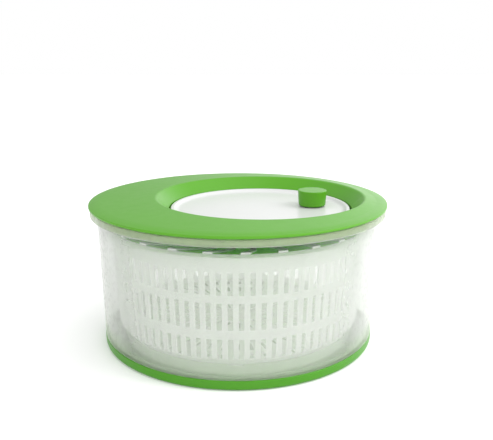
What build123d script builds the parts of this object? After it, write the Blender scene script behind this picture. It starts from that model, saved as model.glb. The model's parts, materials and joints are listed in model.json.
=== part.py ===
from build123d import *
import math
import os

# Salad spinner, in millimetres. +Z is up, the origin is on the spin axis at the surface it stands on.
# The crank disc turns about its own axis, set off to +X, and its internal gear drives the centre pinion.

# Driving dimensions
lid_radius = 120.0
crank_offset = 18.0            # spin axis to crank axis, along +X
wall = 2.0                     # bowl wall
lid_wall = 2.2

# Bowl and base ring
bowl_radius_low = 111.0
bowl_radius_high = 113.6
bowl_seat_z = 8.0              # top of the base ring, where the bowl's wall starts
bowl_foot_z = 4.8
bowl_foot_radius = 109.4
bowl_floor_fillet = 4.5
bowl_floor_z = 7.0
lip_radius = 119.0
lip_bottom_z = 106.9
lip_top_z = 112.3
lip_rib_count = 8
lip_rib_phase = -94.0          # degrees from +X
lip_rib_width = 1.2
lip_fillet = 0.7
pivot_radius = 3.0
pivot_top_z = 15.0
base_inner_radius = 94.0
base_foot_fillet = 3.2

# Basket
basket_bottom_z = 12.0
basket_wall = 1.6
basket_floor_radius = 93.0
basket_low_radius = 99.2
basket_low_z = 19.0
basket_high_radius = 103.2
basket_rim_radius = 106.6
basket_rim_z = 91.7
basket_top_z = 98.6
basket_ledge_z = 95.4
basket_ledge_radius = 105.0
slot_rows = ((17.8, 34.0), (41.0, 61.5), (67.3, 84.5))
slot_count = 80
slot_width = 3.9
slot_phase = 2.0               # degrees, a slot's middle from -Y towards +X
floor_slot_rows = ((78.0, 90.0, 48), (58.0, 73.0, 40), (36.0, 53.0, 30), (16.0, 31.0, 16))
floor_slot_width = 3.6
foot_count = 4
foot_width = 11.0
basket_knuckle_fillet = 3.5
lug_count = 8
lug_width = 5.0
lug_clearance = 0.5

# Bearing between bowl and basket
bearing_radius = 5.0
bearing_top_z = 17.0
running_gap = 0.05

# Lid
crest_radius = 84.6            # edge of the well
crest_z = 117.9
shoulder_radius = 111.5        # where the top turns down to the rim
shoulder_z = 116.1
rim_top_z = 114.7
rim_bottom_z = 113.4
seat_z = 112.6                 # underside of the lid over the bowl's lip
seat_radius = 118.6
skirt_radius = 110.6
skirt_wall = 1.8
skirt_bottom_z = 106.4
well_radius = 74.6
well_cone_z = 108.4
well_floor_z = 103.5
well_opening_radius = 36.0
crest_fillet = 2.5

# Crank disc
disc_radius = 73.0
disc_rim_z = 108.7
disc_floor_z = 106.7
disc_under_z = 104.7
disc_skirt_z = 104.1
disc_dish_radius = 67.4
disc_dish_fillet = 5.0
post_radius = 4.5

# Gears: an internal ring under the crank disc round a pinion on the spin axis
ring_teeth = 42
pinion_teeth = 14
gear_module = 2 * crank_offset / (ring_teeth - pinion_teeth)
pressure_angle = math.radians(20.0)
backlash = 0.15                # taken off each tooth at the pitch circle
ring_tip_radius = 26.2
ring_outer_radius = 31.2
ring_flange_radius = 35.2
ring_bottom_z = 99.2
ring_screw_radius = 33.2

# Gear housing under the lid
housing_radius = 38.5
housing_flange_radius = 48.5
housing_floor_z = 96.5
housing_floor_top_z = 98.3
housing_top_z = well_floor_z - lid_wall
boss_radius = 8.8
boss_bottom_z = 91.8
bush_radius = boss_radius - 2.3
housing_screw_radius = 43.5

# Drive shaft and drive disc
shaft_radius = 5.0
shaft_top_radius = 4.0
hex_flats = 8.0
cover_radius = 104.4
cover_flat_z = 98.2            # top of the cover's outer band
cover_low_z = 88.0             # top of the cover's middle
cover_wall = 1.5
cover_dish_radius = 58.0
cover_band_radius = 102.2
hub_radius = 9.0               # the spider's hub, which clips into the cover
arm_count = 25
arm_height = 1.2
arm_phase = 3.4                # degrees, first arm's outer end from -Y towards +X
arm_outer_radius = 105.0       # just past the cover's edge, so the arms end free there
arm_inner_radius = 24.0
arm_width_outer = 7.0
arm_width_mid = 4.0
arm_width_inner = 3.0
arm_sweep_mid = 7.4            # degrees that an arm has turned by half way in
arm_sweep_inner = 3.0

# Knob
knob_orbit = 44.35
knob_angle = 10.96
knob_radius_low = 11.1
knob_radius_high = 11.9
knob_bottom_z = 107.5
knob_top_z = 120.2
knob_pin_radius = 3.0
knob_pin_top_z = 115.6
cap_radius = 10.8

knob_x = crank_offset + knob_orbit * math.cos(math.radians(knob_angle))
knob_y = knob_orbit * math.sin(math.radians(knob_angle))


def at(x, y, shape):
    """The shape, built round the Z axis, moved to stand round x, y."""
    return Pos(x, y, 0) * shape


def turned(points):
    """A solid of revolution about Z from a closed outline of (radius, height) points."""
    face = Plane.XZ * make_face(Polyline(*points, close=True))
    return revolve(face, Axis.Z)


def ring(inner, outer, bottom, top):
    """A plain ring or, with inner 0, a disc."""
    if inner == 0:
        return Pos(0, 0, bottom) * Cylinder(outer, top - bottom, align=(Align.CENTER, Align.CENTER, Align.MIN))
    return turned([(inner, bottom), (outer, bottom), (outer, top), (inner, top)])


def around(count, shape, phase=0.0):
    """Copies of a shape, evenly spaced about the Z axis."""
    return [Rot(0, 0, phase + 360.0 * i / count) * shape for i in range(count)]


def block(inner, outer, width, bottom, top):
    """A radial block on +X, from the inner to the outer radius."""
    size = Box(outer - inner, width, top - bottom, align=(Align.MIN, Align.CENTER, Align.MIN))
    return Pos(inner, 0, bottom) * size


def lid_top():
    """The lid's solid top: a shoulder round the rim, and a slanted crown from there up to the off-centre crest."""
    middle = (shoulder_radius + lid_radius) / 2 + 0.3
    sag = 0.36 * (shoulder_z - rim_top_z)
    shoulder = ThreePointArc((shoulder_radius, shoulder_z), (middle, shoulder_z - sag), (lid_radius, rim_top_z))
    sides = Polyline((lid_radius, rim_top_z), (lid_radius, rim_bottom_z), (seat_radius, rim_bottom_z),
                     (seat_radius, seat_z), (0, seat_z), (0, shoulder_z), (shoulder_radius, shoulder_z))
    plate = revolve(Plane.XZ * make_face([shoulder, sides]), Axis.Z)
    low = Pos(0, 0, shoulder_z) * Circle(shoulder_radius)
    high = Pos(crank_offset, 0, crest_z) * Circle(crest_radius)
    return plate + loft([low.face(), high.face()], ruled=True)


def gear_solid(teeth, tip_radius, root_radius, thickness, bottom, top):
    """An involute gear with a tooth centred on +X. The flank follows the involute of the pitch circle."""
    pitch_radius = gear_module * teeth / 2
    base_radius = pitch_radius * math.cos(pressure_angle)
    pitch_roll = math.tan(pressure_angle) - pressure_angle
    flank_steps = 5

    def half_angle(radius):
        if radius <= base_radius:
            return thickness / (2 * pitch_radius) + pitch_roll
        pressure = math.acos(base_radius / radius)
        return thickness / (2 * pitch_radius) + pitch_roll - (math.tan(pressure) - pressure)

    start = max(base_radius, root_radius)
    radii = [start + (tip_radius - start) * i / flank_steps for i in range(flank_steps + 1)]
    if root_radius < start:
        radii.insert(0, root_radius)
    points = []
    for tooth in range(teeth):
        centre = 2 * math.pi * tooth / teeth
        for radius in radii:
            points.append((radius, centre - half_angle(radius)))
        for radius in reversed(radii):
            points.append((radius, centre + half_angle(radius)))
    outline = Polyline(*[(r * math.cos(a), r * math.sin(a)) for r, a in points], close=True)
    return Pos(0, 0, bottom) * extrude(make_face(outline), top - bottom)


def pan_screw(head_radius, head_bottom, head_top, shank_radius, shank_top, recess=0.9):
    """A pan-head screw whose head is below, with a cross recess."""
    head = ring(0, head_radius, head_bottom, head_top)
    head = fillet(head.edges().group_by(Axis.Z)[0], 0.35 * (head_top - head_bottom))
    cross = Box(head_radius, 0.6, recess) + Box(0.6, head_radius, recess)
    head -= Pos(0, 0, head_bottom + recess / 2) * cross
    return head + ring(0, shank_radius, head_top, shank_top)


# ---------------------------------------------------------------- bowl body

def make_bowl():
    inner_low = bowl_radius_low - wall
    inner_high = bowl_radius_high - wall
    outline = [
        (0, bowl_foot_z),
        (bowl_foot_radius, bowl_foot_z),
        (bowl_foot_radius, bowl_seat_z),
        (bowl_radius_low, bowl_seat_z),
        (bowl_radius_high, lip_top_z - wall),
        (lip_radius - wall, lip_top_z - wall),
        (lip_radius - wall, lip_bottom_z),
        (lip_radius, lip_bottom_z),
        (lip_radius, lip_top_z),
        (inner_high, lip_top_z),
        (inner_low, bowl_floor_z),
        (0, bowl_floor_z),
    ]
    body = turned(outline)
    floor_corner = body.edges().filter_by(GeomType.CIRCLE).filter_by_position(Axis.Z, bowl_floor_z, bowl_floor_z)
    body = fillet(floor_corner, bowl_floor_fillet)
    lip_edges = body.edges().filter_by(GeomType.CIRCLE).filter_by_position(Axis.Z, lip_top_z, lip_top_z)
    body = fillet(lip_edges, lip_fillet)
    seat = body.edges().filter_by(GeomType.CIRCLE).filter_by_position(Axis.Z, bowl_seat_z, bowl_seat_z)
    body = chamfer(seat.sort_by(SortBy.RADIUS)[-1], 0.3)
    rib = block(bowl_radius_high - 0.4, lip_radius - wall / 2, lip_rib_width, lip_bottom_z + 0.6,
                lip_top_z - wall / 2)
    body += around(lip_rib_count, rib, lip_rib_phase)
    cone_radius = 9.0
    body += turned([(0, bowl_floor_z - 1), (cone_radius, bowl_floor_z - 1), (cone_radius, bowl_floor_z),
                    (pivot_radius + 1.2, bowl_floor_z + 0.9), (0, bowl_floor_z + 0.9)])
    pin = ring(0, pivot_radius, bowl_floor_z, pivot_top_z)
    return body + chamfer(pin.edges().group_by(Axis.Z)[-1], 0.6)


def make_base_ring():
    outer = bowl_radius_low + 0.2
    body = turned([(base_inner_radius, 0), (outer, 0), (outer, bowl_seat_z), (bowl_foot_radius + 0.1, bowl_seat_z),
                   (bowl_foot_radius + 0.1, bowl_foot_z), (base_inner_radius, bowl_foot_z)])
    circles = body.edges().filter_by(GeomType.CIRCLE)
    foot = circles.filter_by_position(Axis.Z, 0, 0).sort_by(SortBy.RADIUS)[-1]
    body = fillet(foot, base_foot_fillet)
    circles = body.edges().filter_by(GeomType.CIRCLE)
    top = circles.filter_by_position(Axis.Z, bowl_seat_z, bowl_seat_z).sort_by(SortBy.RADIUS)[-1]
    return fillet(top, 0.5)


# ---------------------------------------------------------------- basket

def make_basket_bearing():
    cup = ring(0, bearing_radius, bowl_floor_z + 1.4, bearing_top_z)
    cup = chamfer(cup.edges().group_by(Axis.Z)[-1], 0.8)
    return cup - ring(0, pivot_radius + running_gap, bowl_floor_z, pivot_top_z + 0.1)


def make_basket():
    boss_radius_out = bearing_radius + 2.6
    boss_bottom = basket_bottom_z - 2.4
    floor_top = basket_bottom_z + basket_wall
    socket_top = bearing_top_z + 0.1
    body = turned([
        (0, socket_top), (bearing_radius + running_gap, socket_top), (bearing_radius + running_gap, boss_bottom),
        (boss_radius_out, boss_bottom), (boss_radius_out, basket_bottom_z), (basket_floor_radius, basket_bottom_z),
        (basket_low_radius, basket_low_z), (basket_high_radius, basket_rim_z), (basket_rim_radius, basket_rim_z),
        (basket_rim_radius, basket_top_z), (basket_ledge_radius, basket_top_z),
        (basket_ledge_radius, basket_ledge_z), (basket_high_radius - basket_wall, basket_ledge_z),
        (basket_high_radius - basket_wall, basket_rim_z), (basket_low_radius - basket_wall, basket_low_z + 0.7),
        (basket_floor_radius - 0.7, floor_top), (boss_radius_out + 3.0, floor_top),
        (boss_radius_out - 1.0, socket_top + 1.7), (0, socket_top + 1.7),
    ])
    circles = body.edges().filter_by(GeomType.CIRCLE)
    knuckle = [e for e in circles
               if abs(e.arc_center.Z - basket_low_z) < 0.1 or (abs(e.arc_center.Z - basket_bottom_z) < 0.1
                                                               and e.radius > basket_floor_radius - 1)]
    body = fillet(knuckle, basket_knuckle_fillet)
    rim_edges = body.edges().filter_by(GeomType.CIRCLE).filter_by_position(Axis.Z, basket_top_z, basket_top_z)
    body = fillet(rim_edges, 0.5)
    cuts = []
    for bottom, top in slot_rows:
        cuts += around(slot_count, block(basket_floor_radius, basket_rim_radius, slot_width, bottom, top), slot_phase - 90)
    for inner, outer, count in floor_slot_rows:
        cuts += around(count, block(inner, outer, floor_slot_width, basket_bottom_z - 1, floor_top + 1))
    notch = block(basket_high_radius - basket_wall - 1, basket_ledge_radius - 0.2, lug_width + 2 * lug_clearance,
                  basket_ledge_z - 2.0, basket_ledge_z + 1)
    cuts += around(lug_count, notch)
    body -= cuts
    foot = block(basket_floor_radius - 2.4, basket_floor_radius - 0.4, foot_width, basket_bottom_z - 1.2, basket_bottom_z + 0.5)
    return body + around(foot_count, foot, -90)


# ---------------------------------------------------------------- lid body

def well_void():
    """The eccentric well that holds the crank disc, with the opening for the gear."""
    slope = (crest_radius - well_radius) / (crest_z - well_cone_z)
    top = crest_z + 2
    return at(crank_offset, 0, turned([
        (0, housing_floor_z), (well_opening_radius, housing_floor_z), (well_opening_radius, well_floor_z),
        (well_radius, well_floor_z), (well_radius, well_cone_z), (well_radius + slope * (top - well_cone_z), top),
        (0, top),
    ]))


def make_lid_shell():
    slope = (crest_radius - well_radius) / (crest_z - well_cone_z)
    inside = ring(0, skirt_radius - skirt_wall, seat_z - 1, shoulder_z - lid_wall)
    outer_radius = well_radius + lid_wall
    cone_start = well_cone_z - 0.9
    cup = at(crank_offset, 0, turned([
        (0, housing_top_z), (outer_radius, housing_top_z), (outer_radius, cone_start),
        (outer_radius + slope * (shoulder_z - 1 - cone_start), shoulder_z - 1), (0, shoulder_z - 1),
    ]))
    shell = lid_top() - inside + cup - well_void()
    circles = shell.edges().filter_by(GeomType.CIRCLE)
    crest = circles.filter_by_position(Axis.Z, crest_z, crest_z).filter_by(lambda e: e.radius < crest_radius + 1)
    shell = fillet(crest, crest_fillet)
    rim = [e for e in shell.edges().filter_by(GeomType.CIRCLE) if e.radius > lid_radius - 0.01]
    shell = fillet([e for e in rim if e.arc_center.Z > rim_top_z - 0.1], 0.6)
    shell += ring(skirt_radius - skirt_wall, skirt_radius, skirt_bottom_z, seat_z + 0.2)
    boss = Pos(housing_screw_radius, 0, 0) * ring(0, 3.5, well_floor_z - 0.5, well_floor_z + 0.8)
    pilot = Pos(housing_screw_radius, 0, 0) * ring(0, 1.35, housing_top_z - 1, well_floor_z + 0.5)
    shell += [at(crank_offset, 0, s) for s in around(4, boss, 45)]
    shell -= [at(crank_offset, 0, s) for s in around(4, pilot, 45)]
    return shell


def make_gear_housing():
    flange_z = housing_top_z - wall
    cup = at(crank_offset, 0, turned([
        (0, housing_floor_z), (housing_radius, housing_floor_z), (housing_radius, flange_z),
        (housing_flange_radius, flange_z), (housing_flange_radius, housing_top_z),
        (housing_radius - wall, housing_top_z), (housing_radius - wall, housing_floor_top_z), (0, housing_floor_top_z),
    ]))
    cup += at(crank_offset, 0, ring(0, post_radius + 1.8, housing_floor_z, disc_under_z - 0.8))
    cup += ring(0, boss_radius, boss_bottom_z, housing_floor_top_z)
    rib = block(boss_radius - 1, 20.0, 1.6, boss_bottom_z + 1.5, housing_floor_z + 0.5)
    cup += [Rot(0, 0, a) * rib for a in (90, 180, 270)]
    cup -= ring(0, bush_radius, boss_bottom_z - 1, housing_floor_top_z + 1)
    cup -= at(crank_offset, 0, ring(0, post_radius + running_gap, housing_floor_z - 1, disc_under_z))
    hole = Pos(housing_screw_radius, 0, 0) * ring(0, 1.7, flange_z - 1, housing_top_z + 1)
    return cup - [at(crank_offset, 0, s) for s in around(4, hole, 45)]


def make_housing_screws():
    flange_z = housing_top_z - wall
    screw = Pos(housing_screw_radius, 0, 0) * pan_screw(2.6, flange_z - 1.5, flange_z, 1.3, well_floor_z + 0.3)
    return Compound([at(crank_offset, 0, s) for s in around(4, screw, 45)])


def make_shaft_bush():
    bore = shaft_radius + running_gap
    return turned([(bore, boss_bottom_z), (bush_radius, boss_bottom_z),
                   (bush_radius, housing_floor_top_z), (boss_radius - 1.2, housing_floor_top_z),
                   (boss_radius - 1.2, housing_floor_top_z + 0.4), (bore, housing_floor_top_z + 0.4)])


# ---------------------------------------------------------------- crank body

def make_crank_disc():
    rim_width = 2.6
    disc = turned([
        (0, disc_under_z), (disc_radius - 2.2, disc_under_z), (disc_radius - 2.2, disc_skirt_z),
        (disc_radius, disc_skirt_z), (disc_radius, disc_rim_z), (disc_radius - rim_width, disc_rim_z),
        (disc_dish_radius, disc_floor_z), (0, disc_floor_z),
    ])
    circles = disc.edges().filter_by(GeomType.CIRCLE)
    disc = fillet(circles.filter_by_position(Axis.Z, disc_rim_z, disc_rim_z), 0.8)
    circles = disc.edges().filter_by(GeomType.CIRCLE)
    disc = fillet(circles.filter_by_position(Axis.Z, disc_floor_z, disc_floor_z), disc_dish_fillet)
    post_bottom = housing_floor_z - 0.1
    disc += ring(0, post_radius, post_bottom, disc_under_z + 0.5)
    disc -= ring(0, 1.55, post_bottom - 1, disc_under_z - 1)
    seat = Pos(knob_orbit, 0, 0) * ring(0, 7.0, disc_floor_z - 0.2, disc_floor_z + 0.5)
    hole = Pos(knob_orbit, 0, 0) * ring(0, knob_pin_radius, disc_under_z - 1, disc_floor_z + 2)
    head = Pos(knob_orbit, 0, 0) * ring(0, 6.0, disc_under_z - 1, disc_under_z + 0.9)
    disc = disc + Rot(0, 0, knob_angle) * seat - Rot(0, 0, knob_angle) * hole - Rot(0, 0, knob_angle) * head
    pilot = Pos(ring_screw_radius, 0, 0) * ring(0, 1.05, disc_under_z - 1, disc_floor_z - 0.5)
    return at(crank_offset, 0, disc - around(3, pilot))


def make_ring_gear():
    body = turned([
        (20.0, ring_bottom_z), (ring_outer_radius, ring_bottom_z), (ring_outer_radius, disc_under_z - 1.7),
        (ring_flange_radius, disc_under_z - 1.7), (ring_flange_radius, disc_under_z), (20.0, disc_under_z),
    ])
    pitch = math.pi * gear_module
    root = gear_module * ring_teeth / 2 + 1.25 * gear_module
    space = pitch / 2 + backlash
    body -= gear_solid(ring_teeth, root, ring_tip_radius, space, ring_bottom_z - 1, disc_under_z + 1)
    hole = Pos(ring_screw_radius, 0, 0) * ring(0, 1.2, ring_bottom_z, disc_under_z + 1)
    return at(crank_offset, 0, body - around(3, hole))


def make_ring_gear_screws():
    head_top = disc_under_z - 1.7
    screw = Pos(ring_screw_radius, 0, 0) * pan_screw(1.9, head_top - 1.2, head_top, 1.0, disc_floor_z - 0.7, 0.6)
    return Compound([at(crank_offset, 0, s) for s in around(3, screw)])


def make_crank_washer():
    top = housing_floor_z - 0.1
    return at(crank_offset, 0, ring(1.7, 7.0, top - 1.0, top))


def make_crank_screw():
    head_top = housing_floor_z - 1.1
    return at(crank_offset, 0, pan_screw(3.2, head_top - 2.0, head_top, 1.5, disc_under_z - 1.5))


def make_knob_pin():
    pin = ring(0, 5.95, disc_under_z, disc_under_z + 0.9) + ring(0, knob_pin_radius, disc_under_z, knob_pin_top_z)
    return at(knob_x, knob_y, pin - ring(0, 1.3, 107.0, knob_pin_top_z + 1))


def make_knob_screw():
    screw = pan_screw(4.2, 0.0, 1.7, 1.25, 8.0)
    flipped = Rot(180, 0, 0) * screw
    return Pos(knob_x, knob_y, knob_pin_top_z + 1.7) * flipped


# ---------------------------------------------------------------- knob body

def make_knob_body():
    shoulder = knob_pin_top_z - 0.1
    cap_seat = knob_top_z - 1.6
    body = turned([(0, knob_bottom_z), (knob_radius_low, knob_bottom_z), (knob_radius_high, knob_top_z),
                   (0, knob_top_z)])
    circles = body.edges().filter_by(GeomType.CIRCLE)
    body = fillet(circles.group_by(Axis.Z)[0], 1.1)
    circles = body.edges().filter_by(GeomType.CIRCLE)
    body = fillet(circles.group_by(Axis.Z)[-1], 0.6)
    body -= ring(0, knob_pin_radius + running_gap, knob_bottom_z - 1, shoulder + 1)
    body -= ring(0, 5.2, shoulder, knob_top_z)
    body -= ring(0, cap_radius + 0.05, cap_seat, knob_top_z + 1)
    pocket = block(5.0, 9.0, 3.0, knob_bottom_z - 1, shoulder - 2.4)
    return at(knob_x, knob_y, body - around(6, pocket, 30))


def make_knob_cap():
    cap = ring(0, cap_radius, knob_top_z - 1.6, knob_top_z)
    return at(knob_x, knob_y, fillet(cap.edges().group_by(Axis.Z)[-1], 0.2))


# ---------------------------------------------------------------- drive body

def make_pinion():
    pitch_radius = gear_module * pinion_teeth / 2
    tip = pitch_radius + 0.9 * gear_module
    root = pitch_radius - 1.25 * gear_module
    thickness = math.pi * gear_module / 2 - backlash
    body = gear_solid(pinion_teeth, tip, root, thickness, ring_bottom_z - 0.1, disc_under_z - 0.7)
    return body - ring(0, shaft_top_radius, ring_bottom_z - 1, disc_under_z)


def hex_prism(flats, bottom, top):
    return Pos(0, 0, bottom) * extrude(RegularPolygon(flats / 2, 6, major_radius=False), top - bottom)


def make_drive_shaft():
    shoulder = ring_bottom_z - 0.1
    shaft = ring(0, shaft_top_radius, shoulder, disc_under_z - 0.9)
    shaft += ring(0, shaft_radius, boss_bottom_z - 0.6, shoulder)
    shaft += hex_prism(hex_flats, cover_low_z - 3.2, boss_bottom_z - 0.6)
    return shaft - ring(0, 1.55, cover_low_z - 4, boss_bottom_z + 1)


def cover_profile(lift, thickness, inner, outer):
    """A dished band: low in the middle, rising to a flat outer band. lift is its underside above the cover's top."""
    low = cover_low_z + lift
    high = cover_flat_z + lift
    return [(inner, low), (cover_dish_radius, low), (cover_band_radius, high), (outer, high),
            (outer, high + thickness), (cover_band_radius, high + thickness),
            (cover_dish_radius, low + thickness), (inner, low + thickness)]


def make_basket_cover():
    body = turned(cover_profile(-cover_wall, cover_wall, hub_radius + 0.1, cover_radius))
    body += ring(cover_radius - 2.2, cover_radius, basket_ledge_z + 0.3, cover_flat_z - 0.5)
    lug = block(cover_radius - 2.0, cover_radius - 0.2, lug_width, basket_ledge_z - 1.7, basket_ledge_z + 0.6)
    return body + around(lug_count, lug)


def arm_window():
    """The opening between two curved arms, as an upright prism."""
    step = 360.0 / arm_count
    radius_mid = (arm_outer_radius + arm_inner_radius) / 2
    stations = ((arm_outer_radius, 0.0, arm_width_outer),
                (radius_mid, arm_sweep_mid, arm_width_mid),
                (arm_inner_radius, arm_sweep_inner, arm_width_inner))
    right, left = [], []
    for radius, sweep, width in stations:
        half = math.degrees(width / 2 / radius)
        for side, angle in ((right, sweep + half), (left, sweep + step - half)):
            turn = math.radians(angle - 90 + arm_phase)
            side.append((radius * math.cos(turn), radius * math.sin(turn)))
    face = make_face([ThreePointArc(*right), Line(right[2], left[2]), ThreePointArc(*left), Line(left[0], right[0])])
    return Pos(0, 0, 80) * extrude(face, 30)


def make_drive_spider():
    body = turned(cover_profile(0.0, arm_height, 0, cover_radius))
    body -= around(arm_count, arm_window())
    body += ring(0, hub_radius, cover_low_z - 3.5, cover_low_z + arm_height + 1.0)
    body += ring(0, hub_radius + 0.8, cover_low_z - cover_wall - 0.9, cover_low_z - cover_wall - 0.1)
    return body - hex_prism(hex_flats + 0.1, cover_low_z - 4, cover_low_z + 4)


def make_drive_washer():
    top = cover_low_z - 3.5
    return ring(1.7, 7.0, top - 1.0, top)


def make_drive_screw():
    head_top = cover_low_z - 4.5
    return pan_screw(3.2, head_top - 2.0, head_top, 1.5, boss_bottom_z)


makers = {
    "bowl": make_bowl,
    "base_ring": make_base_ring,
    "basket_bearing": make_basket_bearing,
    "basket": make_basket,
    "lid_shell": make_lid_shell,
    "gear_housing": make_gear_housing,
    "housing_screws": make_housing_screws,
    "shaft_bush": make_shaft_bush,
    "crank_disc": make_crank_disc,
    "ring_gear": make_ring_gear,
    "ring_gear_screws": make_ring_gear_screws,
    "crank_washer": make_crank_washer,
    "crank_screw": make_crank_screw,
    "knob_pin": make_knob_pin,
    "knob_screw": make_knob_screw,
    "knob_body": make_knob_body,
    "knob_cap": make_knob_cap,
    "pinion": make_pinion,
    "drive_shaft": make_drive_shaft,
    "basket_cover": make_basket_cover,
    "drive_spider": make_drive_spider,
    "drive_washer": make_drive_washer,
    "drive_screw": make_drive_screw,
}

os.makedirs("parts", exist_ok=True)
for name, maker in makers.items():
    export_step(maker(), f"parts/{name}.step")
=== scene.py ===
import json
import math
import bpy
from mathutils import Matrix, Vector


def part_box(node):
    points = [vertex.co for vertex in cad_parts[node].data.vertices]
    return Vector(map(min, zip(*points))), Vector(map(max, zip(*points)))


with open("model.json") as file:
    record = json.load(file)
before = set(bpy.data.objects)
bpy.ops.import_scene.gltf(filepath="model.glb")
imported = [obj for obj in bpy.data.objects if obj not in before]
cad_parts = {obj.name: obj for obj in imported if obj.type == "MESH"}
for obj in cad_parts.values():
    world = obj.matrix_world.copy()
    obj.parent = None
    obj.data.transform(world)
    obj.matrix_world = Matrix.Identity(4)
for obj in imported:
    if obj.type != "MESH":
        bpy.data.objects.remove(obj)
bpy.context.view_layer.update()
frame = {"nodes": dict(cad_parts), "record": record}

nodes = frame["nodes"]

# Linear RGB
GREEN = (0.081, 0.305, 0.010)
# Painted shade: a darker copy of the green plastic for the base ring, standing in for less light on it
GREEN_WITH_PAINTED_SHADE = (0.055, 0.250, 0.006)
# Painted light: a lighter green than the lid's, for the basket cover seen in the shaded gap under the lid
COVER_GREEN_WITH_PAINTED_LIGHT = (0.30, 0.74, 0.09)
WHITE = (0.60, 0.605, 0.60)
# Painted light: a brighter copy of the white plastic for the drive spider, seen in the shaded gap under the
# lid
WHITE_WITH_PAINTED_LIGHT = (0.92, 0.925, 0.92)
MILK = (0.975, 0.965, 0.97)
FROST = (0.94, 0.93, 0.935)
# Painted light: the frosted bowl's foot is tinted green to stand in for light bounced up from the green base
# ring
FROST_WITH_PAINTED_GREEN_BOUNCE = (0.82, 0.92, 0.75)
# Painted shade and painted light: the bowl's lip is darkened and tinted green, standing in for the shade and
# green light of the lid around it
FROST_WITH_PAINTED_LID_SHADE = (0.60, 0.69, 0.48)
ACETAL = (0.74, 0.72, 0.64)
STEEL = (0.60, 0.60, 0.61)

# Heights in metres: the bowl's wall is frosted up to its neck, level with the basket's rim, and nearly clear
# from there to its stepped-out lip
FLOOR_TOP = 0.009
WALL_START = 0.014
# Height where the painted green bounce light at the bowl's foot fades out
PAINTED_BOUNCE_END = 0.024
STEP = 0.0005
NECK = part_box("basket")[1][2]
LIP = 0.1069
LID_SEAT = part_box("bowl")[1][2]
# Shares of the light that the bowl's plastic scatters
FROSTED = 0.245
CLEAR = 0.035
FROSTED_FLOOR = 0.30
FROSTED_LIP = 0.40

# Refractive indices, low where the gloss is weak
GREEN_IOR = 1.38
DULL_IOR = 1.12

# A noise's values lie mostly in this range
NOISE_RANGE = (0.25, 0.75)

# How bright the white room is low behind on the left and right, low in front, and overhead
BACK_LEFT = 0.6
BACK_RIGHT = 2.1
FRONT = 1.5
OVERHEAD = 1.0

# Where the room's parts blend into each other, as parts of the direction looked in
LEFT_TO_RIGHT = (-0.25, 0.5)
FRONT_TO_BACK = (-0.3, 0.3)
LOW_TO_HIGH = (0.25, 0.75)

FLOOR_SIZE = 14
MIDDLE = (0, 0, 0.08)
KEY_PLACE = (0.85, -0.2, 0.8)
SKY_DIRECTION = (0.5, -0.2, 1.0)
CAMERA_PLACE = (0.0069, -0.5399, 0.2295)
CAMERA_LENS = 49.15
CAMERA_DOWN = math.radians(13.84)


# ---------------------------------------------------------------- materials

def new_material(name):
    """A material with only an output and a Principled shader, and its node tree."""
    material = bpy.data.materials.new(name)
    material.use_nodes = True
    tree = material.node_tree
    tree.nodes.clear()
    output = tree.nodes.new("ShaderNodeOutputMaterial")
    shader = tree.nodes.new("ShaderNodeBsdfPrincipled")
    tree.links.new(shader.outputs["BSDF"], output.inputs["Surface"])
    return material, tree, shader, output


def object_place(tree, stretch=(1, 1, 1)):
    """Object coordinates, in metres, stretched along the axes."""
    coordinates = tree.nodes.new("ShaderNodeTexCoord")
    mapping = tree.nodes.new("ShaderNodeMapping")
    mapping.inputs["Scale"].default_value = stretch
    tree.links.new(coordinates.outputs["Object"], mapping.inputs["Vector"])
    return mapping.outputs["Vector"]


def noise(tree, place, scale, detail=2.0):
    node = tree.nodes.new("ShaderNodeTexNoise")
    node.inputs["Scale"].default_value = scale
    node.inputs["Detail"].default_value = detail
    tree.links.new(place, node.inputs["Vector"])
    return node.outputs["Fac"]


def map_range(tree, value, across, low, high):
    """A node that goes from low to high as the value goes across its range."""
    node = tree.nodes.new("ShaderNodeMapRange")
    node.inputs["From Min"].default_value = across[0]
    node.inputs["From Max"].default_value = across[1]
    node.inputs["To Min"].default_value = low
    node.inputs["To Max"].default_value = high
    tree.links.new(value, node.inputs["Value"])
    return node


def ranged(tree, value, low, high):
    """A noise's usual range spread over low to high."""
    node = map_range(tree, value, NOISE_RANGE, low, high)
    return node.outputs["Result"]


def shades(tree, value, colour, spread):
    """The colour, a little darker to a little lighter as the noise goes over its usual range."""
    darker = [part * (1 - spread) for part in colour]
    lighter = [min(1.0, part * (1 + spread)) for part in colour]
    return colour_ramp(tree, value, ((NOISE_RANGE[0], darker), (NOISE_RANGE[1], lighter)))


def bump(tree, value, depth, shader):
    """Raises the surface by up to depth metres."""
    node = tree.nodes.new("ShaderNodeBump")
    node.inputs["Distance"].default_value = depth
    node.inputs["Strength"].default_value = 1.0
    tree.links.new(value, node.inputs["Height"])
    tree.links.new(node.outputs["Normal"], shader.inputs["Normal"])


def moulded_plastic(name, colour, rough, grain=3000, depth=0.000002, spread=0.015, ior=1.5):
    """Opaque plastic with a fine eroded grain, slightly uneven gloss and slightly uneven colour."""
    material, tree, shader, _ = new_material(name)
    place = object_place(tree)
    cloud = noise(tree, place, 28, 3)
    tree.links.new(shades(tree, cloud, colour, spread), shader.inputs["Base Color"])
    fine = noise(tree, place, grain)
    uneven = ranged(tree, noise(tree, place, 160, 4), rough - 0.02, rough + 0.02)
    tree.links.new(uneven, shader.inputs["Roughness"])
    bump(tree, fine, depth, shader)
    shader.inputs["IOR"].default_value = ior
    return material


def colour_ramp(tree, value, steps):
    """A colour that follows the (value, colour) steps."""
    ramp = tree.nodes.new("ShaderNodeValToRGB")
    points = ramp.color_ramp.elements
    while len(points) < len(steps):
        points.new(0.5)
    for point, (place, colour) in zip(points, steps):
        point.position = place
        point.color = (*colour, 1)
    tree.links.new(value, ramp.inputs["Fac"])
    return ramp.outputs["Color"]


def number_ramp(tree, value, steps):
    """A number from 0 to 1 that follows the (value, number) steps."""
    return colour_ramp(tree, value, [(place, (number, number, number)) for place, number in steps])


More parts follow.
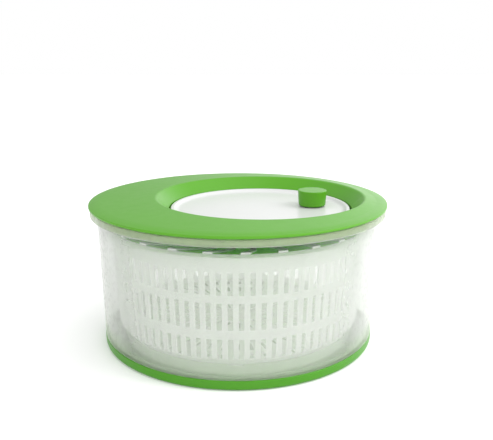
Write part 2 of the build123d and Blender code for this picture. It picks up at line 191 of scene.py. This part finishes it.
def see_through_plastic(name, colour, rough, passing, tint, by_angle, by_height=None, colours=None, ior=1.49):
    """
    Thin milky plastic: part of the light goes straight on, the rest is scattered, and it has its own gloss.
    passing is how much of the scattered light goes through. tint is what a face seen nearly edge on leaves of
    the light that goes straight on. by_angle has the scattered share from face on, 0, to edge on, 1, and
    by_height has it at heights in metres. The larger of the two counts. With by_height, colours has the
    colour at heights in metres, instead of the one colour.
    """
    material, tree, shader, output = new_material(name)
    place = object_place(tree)
    scatter = tree.nodes.new("ShaderNodeBsdfTranslucent")
    if by_height:
        top = by_height[-1][0]
        axes = tree.nodes.new("ShaderNodeSeparateXYZ")
        height = tree.nodes.new("ShaderNodeMath")
        height.operation = "DIVIDE"
        height.inputs[1].default_value = top
        tree.links.new(place, axes.inputs["Vector"])
        tree.links.new(axes.outputs["Z"], height.inputs[0])
        # Colours by height; in this script they paint light and shade into the bowl: green bounce light at
        # its foot, the lid's shade at its lip
        height_colour_with_painted_light = colour_ramp(tree, height.outputs["Value"], [(z / top, shade) for z, shade in colours])
        tree.links.new(height_colour_with_painted_light, shader.inputs["Base Color"])
        tree.links.new(height_colour_with_painted_light, scatter.inputs["Color"])
    else:
        cloud = noise(tree, place, 22, 3)
        tree.links.new(shades(tree, cloud, colour, 0.01), shader.inputs["Base Color"])
        scatter.inputs["Color"].default_value = (*colour, 1)
    uneven = ranged(tree, noise(tree, place, 240, 3), rough - 0.03, rough + 0.03)
    tree.links.new(uneven, shader.inputs["Roughness"])
    bump(tree, noise(tree, place, 1800), 0.000002, shader)
    shader.inputs["IOR"].default_value = ior
    body = tree.nodes.new("ShaderNodeMixShader")
    body.inputs["Fac"].default_value = passing
    clear = tree.nodes.new("ShaderNodeBsdfTransparent")
    edge = tree.nodes.new("ShaderNodeLayerWeight")
    edge.inputs["Blend"].default_value = 0.5
    fade = tree.nodes.new("ShaderNodeValToRGB")
    fade.color_ramp.elements[0].color = (0.995, 0.997, 0.995, 1)
    fade.color_ramp.elements[1].color = (*tint, 1)
    fade.color_ramp.elements[1].position = 0.7
    share = number_ramp(tree, edge.outputs["Facing"], by_angle)
    if by_height:
        zones = number_ramp(tree, height.outputs["Value"], [(z / top, solid) for z, solid in by_height])
        more = tree.nodes.new("ShaderNodeMath")
        more.operation = "MAXIMUM"
        tree.links.new(share, more.inputs[0])
        tree.links.new(zones, more.inputs[1])
        share = more.outputs["Value"]
    mix = tree.nodes.new("ShaderNodeMixShader")
    tree.links.new(shader.outputs["BSDF"], body.inputs[1])
    tree.links.new(scatter.outputs["BSDF"], body.inputs[2])
    tree.links.new(edge.outputs["Facing"], fade.inputs["Fac"])
    tree.links.new(fade.outputs["Color"], clear.inputs["Color"])
    tree.links.new(share, mix.inputs["Fac"])
    tree.links.new(clear.outputs["BSDF"], mix.inputs[1])
    tree.links.new(body.outputs["Shader"], mix.inputs[2])
    tree.links.new(mix.outputs["Shader"], output.inputs["Surface"])
    return material


def brushed_metal(name, colour):
    """Plain steel with fine turned marks round Z."""
    material, tree, shader, _ = new_material(name)
    place = object_place(tree, (1, 1, 14))
    marks = noise(tree, place, 900, 3)
    tree.links.new(shades(tree, marks, colour, 0.08), shader.inputs["Base Color"])
    tree.links.new(ranged(tree, marks, 0.22, 0.38), shader.inputs["Roughness"])
    shader.inputs["Metallic"].default_value = 1.0
    bump(tree, marks, 0.00002, shader)
    return material


materials = {
    "green_plastic": moulded_plastic("green satin plastic", GREEN, 0.36, ior=GREEN_IOR),
    "white_plastic": moulded_plastic("white plastic", WHITE, 0.30, 2200, 0.000001, 0.006),
    # The frosted bowl's colours by height hold painted light: green bounce light at its foot, and the lid's
    # shade and green light at its lip
    "frosted_plastic": see_through_plastic(
        "frosted bowl plastic", FROST, 0.28, 0.45, (0.86, 0.87, 0.86),
        ((0.0, 0.0), (0.5, FROSTED), (0.75, 0.5), (1.0, 0.85)),
        ((FLOOR_TOP, FROSTED_FLOOR), (WALL_START, FROSTED), (NECK - 2 * STEP, FROSTED), (NECK, CLEAR),
         (LIP, CLEAR), (LIP + STEP, FROSTED_LIP), (LID_SEAT, FROSTED_LIP)),
        ((FLOOR_TOP, FROST_WITH_PAINTED_GREEN_BOUNCE), (PAINTED_BOUNCE_END, FROST), (LIP, FROST), (LIP + STEP, FROST_WITH_PAINTED_LID_SHADE),
         (LID_SEAT, FROST_WITH_PAINTED_LID_SHADE))),
    "translucent_plastic": see_through_plastic(
        "milky basket plastic", MILK, 0.36, 0.65, (0.97, 0.98, 0.97),
        ((0.0, 0.60), (0.5, 0.70), (1.0, 0.95))),
    "gear_plastic": moulded_plastic("natural acetal", ACETAL, 0.40, 2200, 0.000005, 0.03),
    "steel": brushed_metal("stainless steel", STEEL),
}

slots = {part["node"]: part["material_slot"] for part in frame["record"]["subparts"]}
for name, node in nodes.items():
    node.data.materials.clear()
    node.data.materials.append(materials[slots[name]])
# Painted shade: the base ring gets a darker copy of the green plastic
nodes["base_ring"].data.materials[0] = moulded_plastic(
    "green plastic with painted shade", GREEN_WITH_PAINTED_SHADE, 0.36, ior=GREEN_IOR)
# Painted light: the cover gets a lighter green than the lid, as if lit in the gap under the lid
nodes["basket_cover"].data.materials[0] = see_through_plastic(
    "green cover plastic with painted light", COVER_GREEN_WITH_PAINTED_LIGHT, 0.5, 0.5, (0.9, 1.0, 0.85), ((0.0, 1.0), (1.0, 1.0)), ior=DULL_IOR)
# Painted light: the drive spider gets a brighter copy of the white plastic, as if lit in the gap under the
# lid
nodes["drive_spider"].data.materials[0] = moulded_plastic(
    "white plastic with painted light", WHITE_WITH_PAINTED_LIGHT, 0.5, spread=0.006, ior=DULL_IOR)


# ---------------------------------------------------------------- floor, light and camera

def floor():
    """A pale matt surface that the spinner stands on."""
    bpy.ops.mesh.primitive_plane_add(size=FLOOR_SIZE, location=(0, 0, 0))
    plane = bpy.context.object
    plane.name = "floor"
    material, tree, shader, _ = new_material("pale floor")
    place = object_place(tree)
    tree.links.new(shades(tree, noise(tree, place, 3), (0.93, 0.93, 0.93), 0.01), shader.inputs["Base Color"])
    shader.inputs["Roughness"].default_value = 0.9
    shader.inputs["Specular IOR Level"].default_value = 0.1
    shader.inputs["Emission Color"].default_value = (1, 1, 1, 1)
    shader.inputs["Emission Strength"].default_value = 0.1
    plane.data.materials.append(material)


def area_light(name, place, target, size, power):
    data = bpy.data.lights.new(name, "AREA")
    data.shape = "DISK"
    data.size = size
    data.energy = power
    light = bpy.data.objects.new(name, data)
    light.location = place
    light.rotation_euler = (Vector(target) - Vector(place)).to_track_quat("-Z", "Y").to_euler()
    bpy.context.collection.objects.link(light)


def sun_light(name, towards, strength):
    """Even light over the whole floor, from the given direction."""
    data = bpy.data.lights.new(name, "SUN")
    data.energy = strength
    data.angle = math.radians(60)
    light = bpy.data.objects.new(name, data)
    light.rotation_euler = Vector(towards).to_track_quat("Z", "Y").to_euler()
    bpy.context.collection.objects.link(light)


def white_room():
    """
    White all round: bright low in front and behind on the right, dimmer behind on the left. The camera sees
    it as plain white.
    """
    world = bpy.data.worlds.new("white room")
    world.use_nodes = True
    tree = world.node_tree
    background = tree.nodes["Background"]
    background.inputs["Color"].default_value = (1, 1, 1, 1)
    coordinates = tree.nodes.new("ShaderNodeTexCoord")
    axes = tree.nodes.new("ShaderNodeSeparateXYZ")
    tree.links.new(coordinates.outputs["Generated"], axes.inputs["Vector"])

    def blend(axis, across, low, high):
        node = map_range(tree, axes.outputs[axis], across, low, high)
        node.interpolation_type = "SMOOTHSTEP"
        return node.outputs["Result"]

    def together(kind, one, other):
        node = tree.nodes.new("ShaderNodeMath")
        node.operation = kind
        tree.links.new(one, node.inputs[0])
        tree.links.new(other, node.inputs[1])
        return node.outputs["Value"]

    behind = blend("Y", FRONT_TO_BACK, 0.0, 1.0)
    back = together("MULTIPLY", blend("X", LEFT_TO_RIGHT, BACK_LEFT, BACK_RIGHT), behind)
    sides = together("ADD", back, blend("Y", FRONT_TO_BACK, FRONT, 0.0))
    low_part = together("MULTIPLY", sides, blend("Z", LOW_TO_HIGH, 1.0, 0.0))
    high_part = blend("Z", LOW_TO_HIGH, 0.0, OVERHEAD)
    path = tree.nodes.new("ShaderNodeLightPath")
    seen = tree.nodes.new("ShaderNodeMix")
    seen.inputs["B"].default_value = 1.0
    tree.links.new(path.outputs["Is Camera Ray"], seen.inputs["Factor"])
    tree.links.new(together("ADD", low_part, high_part), seen.inputs["A"])
    tree.links.new(seen.outputs["Result"], background.inputs["Strength"])
    bpy.context.scene.world = world


def camera():
    """Stands in front of the spinner and looks down on it."""
    data = bpy.data.cameras.new("camera")
    data.sensor_width = 36
    data.lens = CAMERA_LENS
    view = bpy.data.objects.new("camera", data)
    view.location = CAMERA_PLACE
    view.rotation_euler = (math.pi / 2 - CAMERA_DOWN, 0, 0)
    bpy.context.collection.objects.link(view)
    bpy.context.scene.camera = view


floor()
white_room()
area_light("key", KEY_PLACE, MIDDLE, 0.6, 5)
sun_light("sky", SKY_DIRECTION, 0.6)
camera()
scene = bpy.context.scene
scene.view_settings.view_transform = "Standard"
scene.cycles.max_bounces = 24
scene.cycles.diffuse_bounces = 8
scene.cycles.transmission_bounces = 16
scene.cycles.transparent_max_bounces = 48
